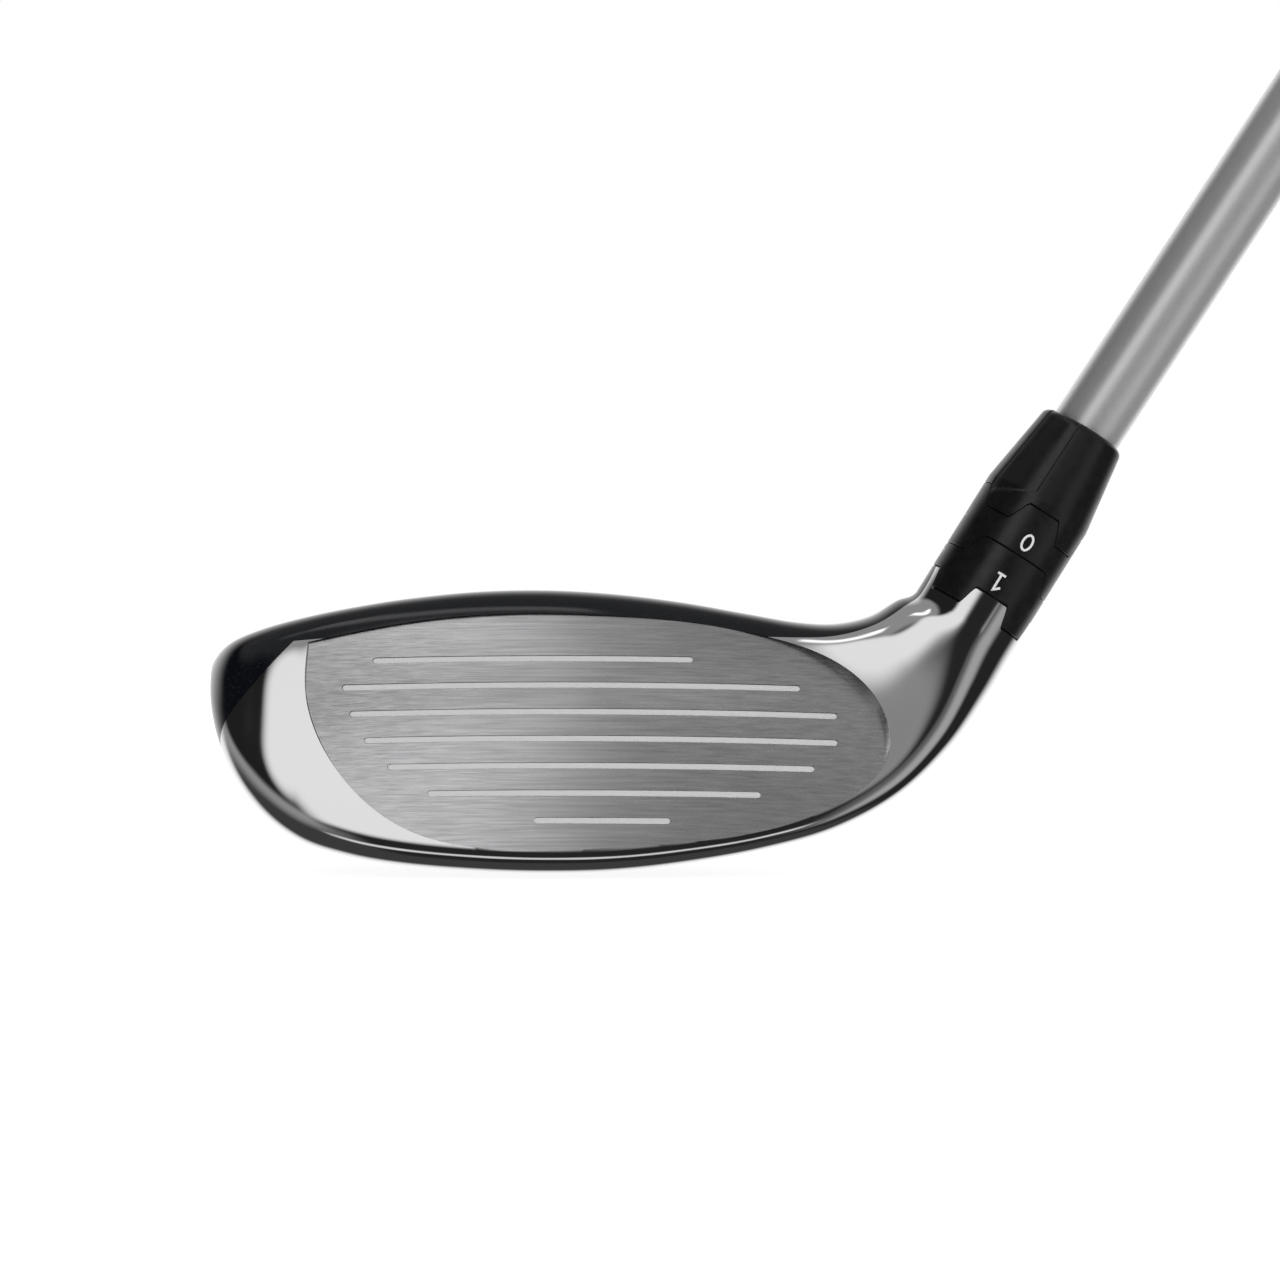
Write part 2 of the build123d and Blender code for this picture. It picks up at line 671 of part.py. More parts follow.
with BuildPart() as shaft:
    add(turned([
        (TIP_BORE / 2, -TIP_INSERT), (shaft_radius(0), -TIP_INSERT), (shaft_radius(0), taper_start),
        (shaft_radius(shaft_top), shaft_top), (BUTT_BORE / 2, shaft_top), (TIP_BORE / 2, 0),
    ]))

with BuildPart() as tip_weight:
    add(tube(shaft_plane(-TIP_INSERT), TIP_WEIGHT_LENGTH, TIP_BORE, 1.0))

tape_start, tape_end = grip_mouth + 6, shaft_top - 2
with BuildPart() as grip_tape:
    add(turned([
        (shaft_radius(tape_start), tape_start), (shaft_radius(tape_start) + TAPE_THICKNESS, tape_start),
        (shaft_radius(tape_end) + TAPE_THICKNESS, tape_end), (shaft_radius(tape_end), tape_end),
    ]))

with BuildPart() as grip:
    with BuildSketch(shaft_side) as grip_profile:
        with BuildLine():
            mouth = Line((shaft_radius(grip_mouth), grip_mouth), (GRIP_MOUTH_DIAMETER / 2 - 0.8, grip_mouth))
            lip = Line(mouth @ 1, (GRIP_MOUTH_DIAMETER / 2, grip_mouth + 1.5))
            side = Spline(
                lip @ 1, (10.9, grip_mouth + 90), (12.6, grip_mouth + 190), (13.4, grip_top - 24),
                (GRIP_CAP_DIAMETER / 2, grip_top - 3.5),
            )
            crest = Line(side @ 1, (GRIP_CAP_DIAMETER / 2 - 1.6, grip_top))
            Polyline(
                crest @ 1, (CAP_DIAMETER / 2, grip_top), (CAP_DIAMETER / 2, shaft_top),
                (shaft_radius(shaft_top), shaft_top), (shaft_radius(tape_end), tape_end),
                (shaft_radius(tape_end) + TAPE_THICKNESS, tape_end),
                (shaft_radius(tape_start) + TAPE_THICKNESS, tape_start),
                (shaft_radius(tape_start), tape_start), mouth @ 0,
            )
        make_face()
    revolve(axis=shaft_axis)

with BuildPart() as grip_end_cap:
    add(tube(shaft_plane(shaft_top), CAP_HEIGHT, CAP_DIAMETER, VENT_DIAMETER))

# ---------------------------------------------------------------- write the parts

PIECES = dict(
    head_body=head_body, face_plate=face_plate, crown=crown, brace_bar_toe=brace_bar_toe,
    brace_bar_heel=brace_bar_heel, inner_weight=inner_weight, loft_ring=loft_ring, lie_ring=lie_ring,
    adapter_sleeve=adapter_sleeve, thread_insert=thread_insert, sleeve_o_ring=sleeve_o_ring,
    rim_collar=rim_collar, hosel_screw=hosel_screw, hosel_screw_washer=hosel_screw_washer,
    weight_screw=weight_screw, weight_seal=weight_seal, shaft=shaft, tip_weight=tip_weight,
    grip_tape=grip_tape, grip=grip, grip_end_cap=grip_end_cap,
)
for name, piece in PIECES.items():
    piece.part.label = name
    export_step(piece.part, f"parts/{name}.step")
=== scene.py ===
"""Looks of the hybrid golf club, built round its CAD frame."""

from math import cos, degrees, pi, radians, sin, sqrt, tan, tanh

import bmesh
import bpy
import numpy as np
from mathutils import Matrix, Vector


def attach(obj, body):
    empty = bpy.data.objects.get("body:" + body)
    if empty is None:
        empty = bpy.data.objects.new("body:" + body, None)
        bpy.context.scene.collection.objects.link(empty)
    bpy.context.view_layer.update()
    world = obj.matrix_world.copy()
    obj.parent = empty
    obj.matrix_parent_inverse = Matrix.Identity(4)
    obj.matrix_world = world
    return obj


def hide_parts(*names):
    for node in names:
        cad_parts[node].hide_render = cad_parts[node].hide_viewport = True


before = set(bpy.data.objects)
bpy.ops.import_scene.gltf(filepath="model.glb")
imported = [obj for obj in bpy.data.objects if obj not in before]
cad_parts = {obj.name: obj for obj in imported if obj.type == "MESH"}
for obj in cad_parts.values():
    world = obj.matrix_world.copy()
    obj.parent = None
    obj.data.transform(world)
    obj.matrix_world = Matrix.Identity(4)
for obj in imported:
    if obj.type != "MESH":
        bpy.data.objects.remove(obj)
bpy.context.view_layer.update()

MM = 0.001

# ---------------------------------------------------------------- driving dimensions, mm

LOFT = 20.0
FACE_RADIUS = 330.0
FACE_CENTRE = Vector((2.0, -7.9, 18.0))
FACE_THICKNESS = 2.6
HOSEL_LIE = radians(58.05)
HOSEL_BASE = Vector((55.76, 2.5, 33.4))
HOSEL_RADIUS = 7.4
BORE_RADIUS = 5.75
BORE_FLOOR = -17.6
RING_TURN = 6.0
SHAFT_LIE = radians(56.8)
BEND_HEIGHT = 16.0
CLUB_LENGTH = 1010.0
GRIP_LENGTH = 267.0

# Sections from the toe to the neck: the top's (x, z), the sole's (x, z), the front y and the rear y.
HEAD_STATIONS = (
    ((-44.9, 25.8), (-44.9, 25.8), 13.0, 13.0),
    ((-44.0, 27.6), (-44.0, 19.2), 3.5, 20.0),
    ((-41.3, 29.6), (-41.3, 13.2), -3.0, 26.0),
    ((-37.0, 31.3), (-37.0, 7.7), -5.35, 31.5),
    ((-31.4, 32.8), (-31.4, 3.8), -6.45, 37.0),
    ((-25.0, 34.1), (-25.0, 1.9), -7.15, 41.5),
    ((-18.0, 35.2), (-18.0, 0.85), -7.7, 44.7),
    ((-9.0, 36.1), (-9.0, 0.2), -8.1, 46.3),
    ((0.0, 36.3), (0.0, -0.06), -8.25, 45.6),
    ((9.0, 35.8), (9.0, 0.15), -8.2, 42.8),
    ((18.0, 34.7), (18.0, 1.1), -7.85, 38.0),
    ((26.5, 33.2), (28.0, 2.8), -7.3, 31.5),
    ((33.0, 32.1), (37.5, 5.3), -6.6, 24.5),
    ((38.1, 31.9), (46.0, 9.6), -5.9, 18.3),
    ((42.6, 32.85), (52.7, 15.6), -5.4, 13.8),
    ((46.1, 34.9), (57.7, 22.3), -5.05, 11.0),
)
TOP_DEPTH, SOLE_DEPTH = 9.0, 15.7

# The face plate's outline, as (x, z), from the toe's top corner round by the heel.
FACE_OUTLINE = (
    (-30.6, 29.5), (-18.5, 31.9), (-3.0, 33.2), (7.3, 33.0), (20.2, 31.9), (28.9, 30.2),
    (38.0, 26.8), (44.0, 20.0), (44.3, 15.1), (38.2, 9.1), (24.0, 4.8), (8.6, 3.5),
    (-6.9, 3.4), (-17.2, 5.8), (-26.2, 13.1), (-30.7, 23.3),
)
# Each score line from the top down: the x of its toe end and of its heel end.
SCORE_LINES = (
    (-22.1, 19.3), (-26.0, 33.2), (-24.9, 38.0), (-22.9, 38.0), (-19.8, 34.9), (-14.6, 27.9),
    (-1.0, 16.3),
)
LINE_PITCH, LINE_WIDTH, MIDDLE_LINE_RISE = 3.63, 0.85, -0.86

# ---------------------------------------------------------------- helpers

hosel_up = Vector((cos(HOSEL_LIE), 0, sin(HOSEL_LIE)))
hosel_across = Vector((sin(HOSEL_LIE), 0, -cos(HOSEL_LIE)))
shaft_up = Vector((cos(SHAFT_LIE), 0, sin(SHAFT_LIE)))
shaft_across = Vector((sin(SHAFT_LIE), 0, -cos(SHAFT_LIE)))
bend_point = HOSEL_BASE + hosel_up * BEND_HEIGHT
rearward = Vector((0, 1, 0))
face_normal = Vector((0, -cos(radians(LOFT)), sin(radians(LOFT))))
roll_centre = FACE_CENTRE - face_normal * FACE_RADIUS


def mix(first, second, share):
    return first + (second - first) * share


def smooth_step(value):
    value = min(1.0, max(0.0, value))
    return value * value * (3 - 2 * value)


def round_hosel(angle, height, radius):
    """A point about the hosel axis. Angle 0 looks out over the face and grows toward the heel."""
    return HOSEL_BASE + hosel_up * height + (hosel_across * sin(angle) - rearward * cos(angle)) * radius


def round_shaft(angle, height, radius):
    """A point about the shaft's axis, which leaves the hosel's axis at the bend point."""
    return bend_point + shaft_up * height + (shaft_across * sin(angle) - rearward * cos(angle)) * radius


def make_object(name, points, faces, smooth=True):
    """A mesh object from points in millimetres."""
    mesh = bpy.data.meshes.new(name)
    mesh.from_pydata([tuple(Vector(p) * MM) for p in points], [], faces)
    mesh.validate()
    mesh.update()
    piece = bpy.data.objects.new(name, mesh)
    bpy.context.collection.objects.link(piece)
    if smooth:
        mesh.polygons.foreach_set("use_smooth", [True] * len(mesh.polygons))
    return piece


def skin(rows, loop=False):
    """Quads between closed rows of points, with the ends closed, or joined to each other in a loop."""
    count = len(rows[0])
    points = [p for row in rows for p in row]
    faces = []
    for r in range(len(rows) - 1):
        for k in range(count):
            a, b = r * count + k, r * count + (k + 1) % count
            faces.append((a, b, b + count, a + count))
    last = (len(rows) - 1) * count
    if loop:
        faces += [(last + k, last + (k + 1) % count, (k + 1) % count, k) for k in range(count)]
        return points, faces
    for row, first in ((rows[0], 0), (rows[-1], last)):
        points.append(sum((Vector(p) for p in row), Vector()) / count)
        hub = len(points) - 1
        for k in range(count):
            a, b = first + k, first + (k + 1) % count
            faces.append((b, a, hub) if first == 0 else (a, b, hub))
    return points, faces


def outward(piece):
    """Turns all faces to look out of the closed mesh."""
    work = bmesh.new()
    work.from_mesh(piece.data)
    bmesh.ops.recalc_face_normals(work, faces=work.faces)
    if work.calc_volume(signed=True) < 0:
        bmesh.ops.reverse_faces(work, faces=work.faces)
    work.to_mesh(piece.data)
    work.free()
    return piece


def combine(piece, steps):
    """Runs booleans on a piece and keeps the result. steps are (operation, tool object)."""
    for operation, tool in steps:
        cut = piece.modifiers.new(operation, "BOOLEAN")
        cut.operation, cut.object, cut.solver = operation, tool, "EXACT"
    graph = bpy.context.evaluated_depsgraph_get()
    result = bpy.data.meshes.new_from_object(piece.evaluated_get(graph))
    piece.modifiers.clear()
    piece.data = result
    return piece


def copy_of(piece, name):
    """A second object with its own copy of the mesh."""
    twin = bpy.data.objects.new(name, piece.data.copy())
    bpy.context.collection.objects.link(twin)
    return twin


def drop(*tools):
    """Removes the tool objects of a boolean."""
    for tool in tools:
        bpy.data.objects.remove(tool)


# ---------------------------------------------------------------- head surface


def hosel_station(height):
    """The round section of the hosel at a height, as a station of the head."""
    centre = HOSEL_BASE + hosel_up * height
    top, sole = centre - hosel_across * HOSEL_RADIUS, centre + hosel_across * HOSEL_RADIUS
    return (top.x, top.z), (sole.x, sole.z), centre.y - HOSEL_RADIUS, centre.y + HOSEL_RADIUS


STATIONS = (*HEAD_STATIONS, hosel_station(-1.5), hosel_station(3.5))


def station(index):
    """A station by number. Before the toe it mirrors the head, and past the hosel it goes straight on."""
    if index < 0:
        top, sole, front, rear = STATIONS[-index]
        top, sole, front, rear = sole, top, rear, front
    elif index >= len(STATIONS):
        last, before = station(len(STATIONS) - 1), station(len(STATIONS) - 2)
        return [2 * a - b for a, b in zip(last, before)]
    else:
        top, sole, front, rear = STATIONS[index]
    return [*top, *sole, front, rear]


def smooth_station(place):
    """The station at any place between two, on a Catmull-Rom spline."""
    index = min(int(place), len(STATIONS) - 2)
    t = place - index
    before, start, end, after = (station(index + k) for k in (-1, 0, 1, 2))
    return [
        0.5 * (2 * b + (c - a) * t + (2 * a - 5 * b + 4 * c - d) * t**2 + (3 * b - a - 3 * c + d) * t**3)
        for a, b, c, d in zip(before, start, end, after)
    ]


def rounded(angle, power):
    """Cosine and sine shares along a superellipse. A power of 2 is an ellipse; more is squarer."""
    return max(0.0, cos(angle)) ** (2 / power), max(0.0, sin(angle)) ** (2 / power)


# Places along the stations, in stations: where the section starts to turn into the round neck and
# how long that takes, and how far from the toe the front's top and bottom edges take to square up.
NECK_START, NECK_SPAN = 10.5, 5.5
TOP_NOSE_SPAN, SOLE_NOSE_SPAN = 5, 8
TOP_POWER, SOLE_POWER, CROWN_POWER, REAR_POWER = 6.5, 8.0, 2.2, 2.3
REAR_SHARE = 0.38


def head_section(place, per_quarter):
    """The closed outline at a place along the stations, from the front by the top and the rear."""
    top_x, top_z, sole_x, sole_z, front, rear = smooth_station(place)
    height = sqrt((top_x - sole_x) ** 2 + (top_z - sole_z) ** 2)
    up_x, up_z = (top_x - sole_x) / height, (top_z - sole_z) / height
    neck = smooth_step((place - NECK_START) / NECK_SPAN)
    depth = rear - front
    lean = tan(radians(LOFT)) * (1 - neck) * height / 2
    top_depth = mix(TOP_DEPTH * tanh(depth / 2 / TOP_DEPTH), depth / 2, neck)
    sole_depth = mix(SOLE_DEPTH * tanh(depth / 2 / SOLE_DEPTH), depth / 2, neck)
    rear_height = mix(REAR_SHARE, 0.5, neck) * height
    top_power = mix(2, mix(TOP_POWER, 2, neck), smooth_step(place / TOP_NOSE_SPAN))
    sole_power = mix(2, mix(SOLE_POWER, 2, neck), smooth_step(place / SOLE_NOSE_SPAN))
    crown_power = mix(CROWN_POWER, 2, neck)
    rear_power = mix(REAR_POWER, 2, neck)
    top_y, sole_y = front + top_depth + lean, front + sole_depth - lean
    row = []
    for step in range(4 * per_quarter):
        quarter, part = divmod(step, per_quarter)
        angle = pi / 2 * part / per_quarter
        if quarter == 0:
            c, s = rounded(angle, top_power)
            y, up = front + top_depth * (1 - c) + lean * s, height / 2 * (1 + s)
        elif quarter == 1:
            c, s = rounded(angle, crown_power)
            y, up = mix(top_y, rear, s), mix(rear_height, height, c)
        elif quarter == 2:
            c, s = rounded(angle, rear_power)
            y, up = mix(sole_y, rear, c), rear_height * (1 - s)
        else:
            s, c = rounded(angle, sole_power)
            y, up = front + sole_depth * (1 - c) - lean * s, height / 2 * (1 - s)
        row.append(Vector((sole_x + up_x * up, y, max(0.0, sole_z + up_z * up))))
    return row


def even_row(row, count):
    """The same closed outline with points spread by length, so that no facet is long."""
    ends = row + [row[0]]
    lengths = [0.0]
    for a, b in zip(ends, ends[1:]):
        lengths.append(lengths[-1] + (b - a).length)
    spread, k = [], 0
    for step in range(count):
        goal = lengths[-1] * step / count
        while lengths[k + 1] < goal:
            k += 1
        share = (goal - lengths[k]) / max(1e-9, lengths[k + 1] - lengths[k])
        spread.append(ends[k].lerp(ends[k + 1], share))
    return spread


# The toothed seams from the hosel up: teeth, width of a tooth's top and base in degrees, floor, height.
HOSEL_SEAM = (4, 37, 52, 0.0, 2.75)
MIDDLE_SEAM = (2, 78, 108, 6.15, 2.9)
UPPER_SEAM = (4, 34, 60, 12.58, 2.9)
SEAM_GAP, SEAM_CHAMFER = 0.09, 0.11
FLANK_SOFTNESS = 0.6


def seam_height(angle, count, top_angle, base_angle, floor, height):
    """Height of a toothed edge at an angle about the hosel: straight flanks with rounded corners."""
    step = 2 * pi / count
    reach = abs((angle - radians(RING_TURN) + step / 2) % step - step / 2)
    reach = sin(min(reach, pi / 2))
    top_half, base_half = sin(radians(top_angle / 2)), sin(radians(base_angle / 2))
    rise = min(1.0, max(0.0, (base_half - reach) / (base_half - top_half)))
    return floor + height * mix(rise, smooth_step(rise), FLANK_SOFTNESS)


AROUND = 360
HEAD_STEPS = 240
FIRST_PLACE = 0.06
EVEN_END, EVEN_FADE = 12, 3.5
TOE_INSET, TOE_INSET_START, TOE_INSET_SPAN = 0.08, -30, 15


def head_rows():
    """Rows of the head's skin from the toe to the hosel, spread evenly except at the round neck."""
    rows = []
    last = len(HEAD_STATIONS)
    for step in range(HEAD_STEPS + 1):
        place = FIRST_PLACE + (last - FIRST_PLACE) * step / HEAD_STEPS
        fine = head_section(place, AROUND // 2)
        blend_to_round = smooth_step((place - EVEN_END) / EVEN_FADE)
        row = [a.lerp(b, blend_to_round) for a, b in zip(even_row(fine, AROUND), fine[::2])]
        for point in row:
            # The CAD mesh cuts inside its own curve at the toe, and this skin stays inside that mesh.
            point.x += TOE_INSET * smooth_step((TOE_INSET_START - point.x) / TOE_INSET_SPAN)
        rows.append(row)
    return rows


def hosel_angle_of(k):
    """Angle about the hosel of the k-th point of a section. Points start at the front, toward the toe."""
    return -2 * pi * k / AROUND


EDGE_CHAMFER = 0.2


def hosel_rows():
    """Rows up the hosel, over its toothed edge and down the bore to its floor."""
    angles = [hosel_angle_of(k) for k in range(AROUND)]
    edge = [seam_height(angle, *HOSEL_SEAM) for angle in angles]
    rows = []
    for radius, below_edge in (
        (HOSEL_RADIUS, 0.9), (HOSEL_RADIUS, EDGE_CHAMFER), (HOSEL_RADIUS - EDGE_CHAMFER, 0.0),
        (BORE_RADIUS + EDGE_CHAMFER, 0.0), (BORE_RADIUS, EDGE_CHAMFER), (BORE_RADIUS, 3.5),
    ):
        rows.append([round_hosel(a, height - below_edge, radius) for a, height in zip(angles, edge)])
    rows.append([round_hosel(a, BORE_FLOOR, BORE_RADIUS) for a in angles])
    return rows


outer = outward(make_object("outer", *skin(head_rows() + hosel_rows())))


def smooth_outline(points, steps):
    """The natural cubic spline through points, parametrised by the chords, without its last point."""
    knots = np.array(points)
    chords = np.linalg.norm(np.diff(knots, axis=0), axis=1)
    count = len(points)
    matrix, rates = np.eye(count), np.zeros((count, 2))
    slopes = np.diff(knots, axis=0) / chords[:, None]
    for k in range(1, count - 1):
        matrix[k, k - 1 : k + 2] = chords[k - 1], 2 * (chords[k - 1] + chords[k]), chords[k]
        rates[k] = 6 * (slopes[k] - slopes[k - 1])
    bends = np.linalg.solve(matrix, rates)
    dense = []
    for k, chord in enumerate(chords):
        for step in range(steps):
            b = step / steps
            a = 1 - b
            spot = a * knots[k] + b * knots[k + 1]
            spot = spot + ((a**3 - a) * bends[k] + (b**3 - b) * bends[k + 1]) * chord**2 / 6
            dense.append(Vector((float(spot[0]), float(spot[1]))))
    return dense


def face_window():
    """The recess that the face plate sits in: the face outline, down to the plate's back."""
    dense = smooth_outline([*FACE_OUTLINE, FACE_OUTLINE[0]], 24)
    centre, rings, far_front = Vector((6.0, 18.0)), 14, -40

    def on_plate_back(spot):
        x, z = spot
        flat = (FACE_RADIUS - FACE_THICKNESS) ** 2 - (x - roll_centre.x) ** 2 - (z - roll_centre.z) ** 2
        return Vector((x, roll_centre.y - sqrt(flat), z))

    rows = [[on_plate_back(centre.lerp(p, ring / rings)) for p in dense] for ring in range(1, rings + 1)]
    rows.append([Vector((p.x, far_front, p.y)) for p in dense])
    return outward(make_object("window", *skin(rows)))


def joint_block():
    """The crown's side of the joint between crown and body, which drops at the toe and climbs the neck."""
    edge, fall, arc = 29.8, 0.8, 17.0
    front_y, back_y, top, floor = -30.0, 80.0, 150.0, 14.0
    toe_x, toe_drop, toe_reach, neck_x = -32.5, 1.4, 27, 35.0
    profile = [(toe_x - out, -toe_drop * out) for out in range(toe_reach, 0, -1)]
    profile += [(toe_x, 0.0), (neck_x, 0.0)]
    profile += [(neck_x + arc * sin(a), arc * (1 - cos(a))) for a in (radians(d) for d in range(3, 91, 3))]
    rows = []
    for step in range(40):
        y = mix(front_y, back_y, step / 39)
        lower = [Vector((x, y, max(floor, edge + rise - fall * (y + 2)))) for x, rise in profile]
        rows.append([*lower, Vector((neck_x + arc, y, top)), Vector((lower[0].x, y, top))])
    return outward(make_object("joint", *skin(rows), smooth=False))


def cylinder_tool(name, base, direction, radius, length, sides=96):
    """A closed cylinder for a boolean, from a base along a direction."""
    side = direction.orthogonal().normalized()
    other = direction.cross(side)
    turns = [2 * pi * k / sides for k in range(sides)]
    rows = [
        [base + direction * height + (side * cos(turn) + other * sin(turn)) * radius for turn in turns]
        for height in (0.0, length)
    ]
    return outward(make_object(name, *skin(rows)))


WEIGHT_TILT = radians(13.7)
WEIGHT_SPOT = Vector((-4.0, 31.0, 2.8))
WEIGHT_PORT_RADIUS, WEIGHT_PORT_DEPTH = 6.5, 3.6
SCREW_PORT_RADIUS, SCREW_PORT_TOP = 4.6, -22
SCREW_HOLE_RADIUS, SCREW_HOLE_BOTTOM = 2.8, -23
weight_out = Vector((0, sin(WEIGHT_TILT), -cos(WEIGHT_TILT)))

window, joint = face_window(), joint_block()
weight_port = cylinder_tool(
    "port", WEIGHT_SPOT - weight_out * WEIGHT_PORT_DEPTH, weight_out, WEIGHT_PORT_RADIUS, 12
)
screw_port = cylinder_tool("screw", HOSEL_BASE + hosel_up * SCREW_PORT_TOP, -hosel_up, SCREW_PORT_RADIUS, 30)
screw_hole = cylinder_tool("hole", HOSEL_BASE + hosel_up * SCREW_HOLE_BOTTOM, hosel_up, SCREW_HOLE_RADIUS, 8)

head_skin = combine(
    copy_of(outer, "head_skin"),
    [("DIFFERENCE", t) for t in (window, joint, weight_port, screw_port, screw_hole)],
)
crown_skin = combine(copy_of(outer, "crown_skin"), [("DIFFERENCE", window), ("INTERSECT", joint)])
drop(outer, window, joint, weight_port, screw_port, screw_hole)
for piece in (head_skin, crown_skin):
    piece.data.polygons.foreach_set("use_smooth", [True] * len(piece.data.polygons))
    piece.data.set_sharp_from_angle(angle=radians(28))


# ---------------------------------------------------------------- materials


class Nodes:
    """Short names for building a material's nodes."""

    def __init__(self, name, base, metallic=0.0, roughness=0.5, **settings):
        self.material = bpy.data.materials.new(name)
        self.material.use_nodes = True
        self.tree = self.material.node_tree
        self.shader = self.tree.nodes["Principled BSDF"]
        self.shader.inputs["Base Color"].default_value = (*base, 1)
        self.shader.inputs["Metallic"].default_value = metallic
        self.shader.inputs["Roughness"].default_value = roughness
        for key, value in settings.items():
            self.shader.inputs[key.replace("_", " ")].default_value = value
        self.coordinates = self.tree.nodes.new("ShaderNodeTexCoord").outputs["Object"]

    def link(self, output, target):
        self.tree.links.new(output, target)

    def noise(self, scale, detail=4.0, stretch=(1, 1, 1), turn=(0, 0, 0)):
        mapping = self.tree.nodes.new("ShaderNodeMapping")
        mapping.inputs["Scale"].default_value = stretch
        mapping.inputs["Rotation"].default_value = turn
        texture = self.tree.nodes.new("ShaderNodeTexNoise")
        texture.inputs["Scale"].default_value = scale
        texture.inputs["Detail"].default_value = detail
        self.link(self.coordinates, mapping.inputs["Vector"])
        self.link(mapping.outputs[0], texture.inputs["Vector"])
        return texture.outputs[0]

    def spread(self, value, low, high, start=0.3, end=0.7):
        ranger = self.tree.nodes.new("ShaderNodeMapRange")
        for key, amount in (("From Min", start), ("From Max", end), ("To Min", low), ("To Max", high)):
            ranger.inputs[key].default_value = amount
        self.link(value, ranger.inputs["Value"])
        return ranger.outputs[0]

    def tint(self, value, first, second):
        blend = self.tree.nodes.new("ShaderNodeMix")
        blend.data_type = "RGBA"
        blend.inputs["A"].default_value = (*first, 1)
        blend.inputs["B"].default_value = (*second, 1)
        self.link(value, blend.inputs["Factor"])
        self.link(blend.outputs["Result"], self.shader.inputs["Base Color"])

    def rough(self, value):
        self.link(value, self.shader.inputs["Roughness"])

    def bump(self, value, distance, strength=1.0):
        bump = self.tree.nodes.new("ShaderNodeBump")
        bump.inputs["Distance"].default_value = distance
        bump.inputs["Strength"].default_value = strength
        self.link(value, bump.inputs["Height"])
        self.link(bump.outputs[0], self.shader.inputs["Normal"])


def chrome():
    m = Nodes("polished_steel", (0.80, 0.80, 0.81), metallic=1.0, roughness=0.06)
    cloud = m.noise(60, 3)
    m.rough(m.spread(cloud, 0.045, 0.085))
    m.tint(cloud, (0.78, 0.78, 0.79), (0.84, 0.84, 0.85))
    return m.material


def gloss_black():
    m = Nodes("gloss_black", (0.006, 0.007, 0.010), roughness=0.07, Specular_IOR_Level=0.5)
    flake = m.noise(2500, 1)
    m.tint(m.spread(flake, 0, 1, 0.55, 0.8), (0.005, 0.006, 0.009), (0.016, 0.018, 0.026))
    m.rough(m.spread(m.noise(90, 3), 0.05, 0.11))
    return m.material


def brushed_face():
    m = Nodes(
        "brushed_face", (0.60, 0.60, 0.61), metallic=1.0, roughness=0.27,
        Anisotropic=0.7, Anisotropic_Rotation=0.25,
    )
    streak = m.noise(3200, 3, stretch=(0.015, 1, 1))
    fine = m.noise(7000, 2, stretch=(0.02, 1, 1))
    m.tint(m.spread(streak, 0, 1, 0.3, 0.7), (0.51, 0.51, 0.52), (0.68, 0.68, 0.69))
    m.rough(m.spread(fine, 0.22, 0.34))
    m.bump(streak, 0.00001, 0.4)
    return m.material


def anodised(name, base, scale=700):
    m = Nodes(name, base, metallic=0.0, roughness=0.26, Specular_IOR_Level=0.5)
    grain = m.noise(scale, 3)
    m.tint(grain, tuple(c * 0.8 for c in base), tuple(c * 1.3 for c in base))
    m.rough(m.spread(grain, 0.21, 0.31))
    m.bump(grain, 0.00001, 0.2)
    return m.material


def silver_paint():
    m = Nodes(
        "silver_paint", (0.80, 0.80, 0.81), metallic=0.7, roughness=0.38, Coat_Weight=0.4, Coat_Roughness=0.2
    )
    flake = m.noise(4000, 2)
    m.tint(flake, (0.75, 0.75, 0.76), (0.85, 0.85, 0.86))
    m.rough(m.spread(flake, 0.30, 0.40))
    return m.material


def rubber(name, base, scale=900):
    m = Nodes(name, base, roughness=0.6, Specular_IOR_Level=0.5)
    grain = m.noise(scale, 4)
    m.tint(grain, tuple(c * 0.7 for c in base), tuple(c * 1.5 for c in base))
    m.rough(m.spread(grain, 0.5, 0.72))
    m.bump(grain, 0.00006, 0.5)
    return m.material


def machined(name, base, roughness=0.3):
    m = Nodes(name, base, metallic=1.0, roughness=roughness)
    ring = m.noise(1500, 2, stretch=(1, 1, 0.15))
    m.tint(ring, tuple(c * 0.85 for c in base), tuple(min(1, c * 1.15) for c in base))
    m.rough(m.spread(ring, roughness * 0.8, roughness * 1.25))
    return m.material


def white_paint():
    m = Nodes("white_paint", (0.93, 0.93, 0.93), roughness=0.35)
    m.tint(m.noise(800, 3), (0.90, 0.90, 0.90), (0.96, 0.96, 0.96))
    return m.material


def paper_tape():
    m = Nodes("paper_tape", (0.70, 0.66, 0.55), roughness=0.9)
    m.tint(m.noise(300, 4, stretch=(1, 1, 4)), (0.62, 0.58, 0.47), (0.76, 0.72, 0.62))
    return m.material


CHROME, BLACK, BRUSHED = chrome(), gloss_black(), brushed_face()
ANODISED = anodised("black_anodised", (0.009, 0.009, 0.010))
SILVER, WHITE = silver_paint(), white_paint()
GRIP_RUBBER = rubber("grip_rubber", (0.022, 0.022, 0.023))
SEAL_RUBBER = rubber("seal_rubber", (0.03, 0.03, 0.03), 400)
STEEL = machined("plain_steel", (0.50, 0.50, 0.51))
BLACK_STEEL = machined("black_steel", (0.05, 0.05, 0.055), 0.35)
TUNGSTEN = machined("tungsten", (0.28, 0.28, 0.29), 0.5)
BRASS = machined("brass", (0.75, 0.56, 0.24))
CAP_PLASTIC = anodised("cap_plastic", (0.03, 0.03, 0.03), 300)
COLLAR_PLASTIC = anodised("collar_plastic", (0.012, 0.012, 0.013))
TAPE = paper_tape()

